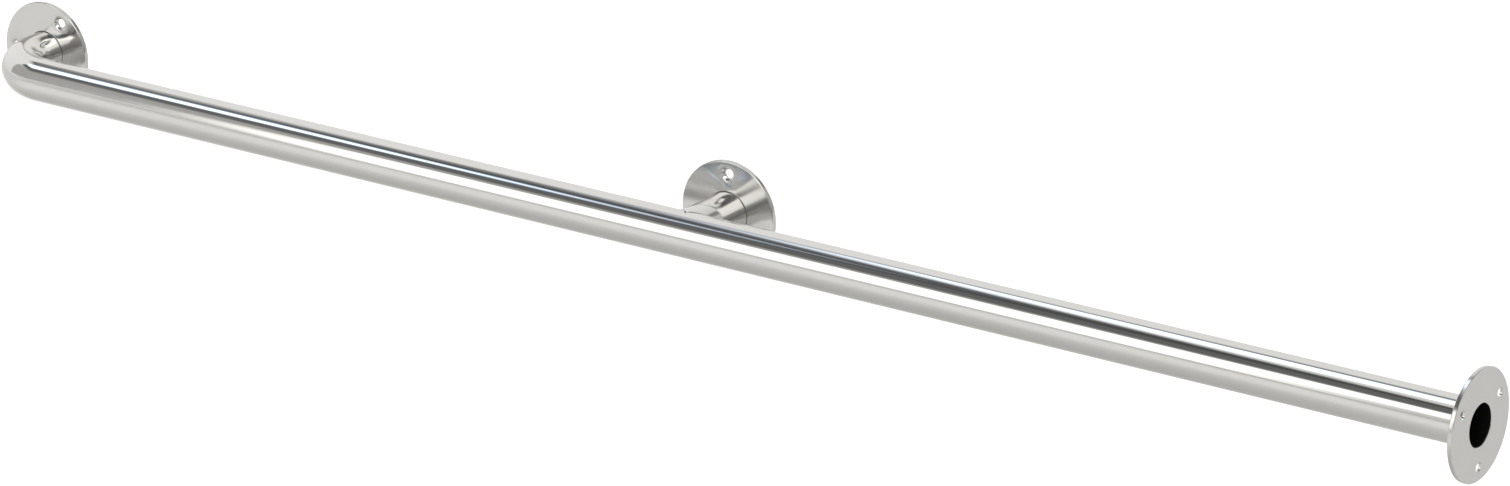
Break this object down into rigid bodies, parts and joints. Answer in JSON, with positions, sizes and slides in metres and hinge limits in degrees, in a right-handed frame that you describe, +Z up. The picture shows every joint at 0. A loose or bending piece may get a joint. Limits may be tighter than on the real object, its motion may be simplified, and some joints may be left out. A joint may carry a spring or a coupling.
{
  "type": "grab rail",
  "caption": "Wall grab rail in polished stainless tube with a bent left leg, a saddled centre leg and round screw-down flanges, its right end butting on a side wall.",
  "frame": {"origin": "centre of the left flange's mounting face, on the plane of the back wall", "axes": "+X along the rail towards the side wall at its right end, +Y into the back wall, +Z up"},
  "size_m": [1.253, 0.092, 0.076],
  "materials": {
    "polished_tube": "stainless tube, polished to a soft mirror with faint polishing lines round it",
    "polished_plate": "stainless plate, polished to a soft mirror with a fine cloudy grain",
    "dressed_weld": "stainless weld, ground and polished, slightly darker than the tube"
  },
  "bodies": {
    "root": {"rail_tube": "polished_tube", "centre_leg_tube": "polished_tube", "left_wall_flange": "polished_plate", "centre_wall_flange": "polished_plate", "end_wall_flange": "polished_plate", "left_flange_weld": "dressed_weld", "centre_flange_weld": "dressed_weld", "end_flange_weld": "dressed_weld", "centre_leg_saddle_weld": "dressed_weld"}
  },
  "joints": []
}
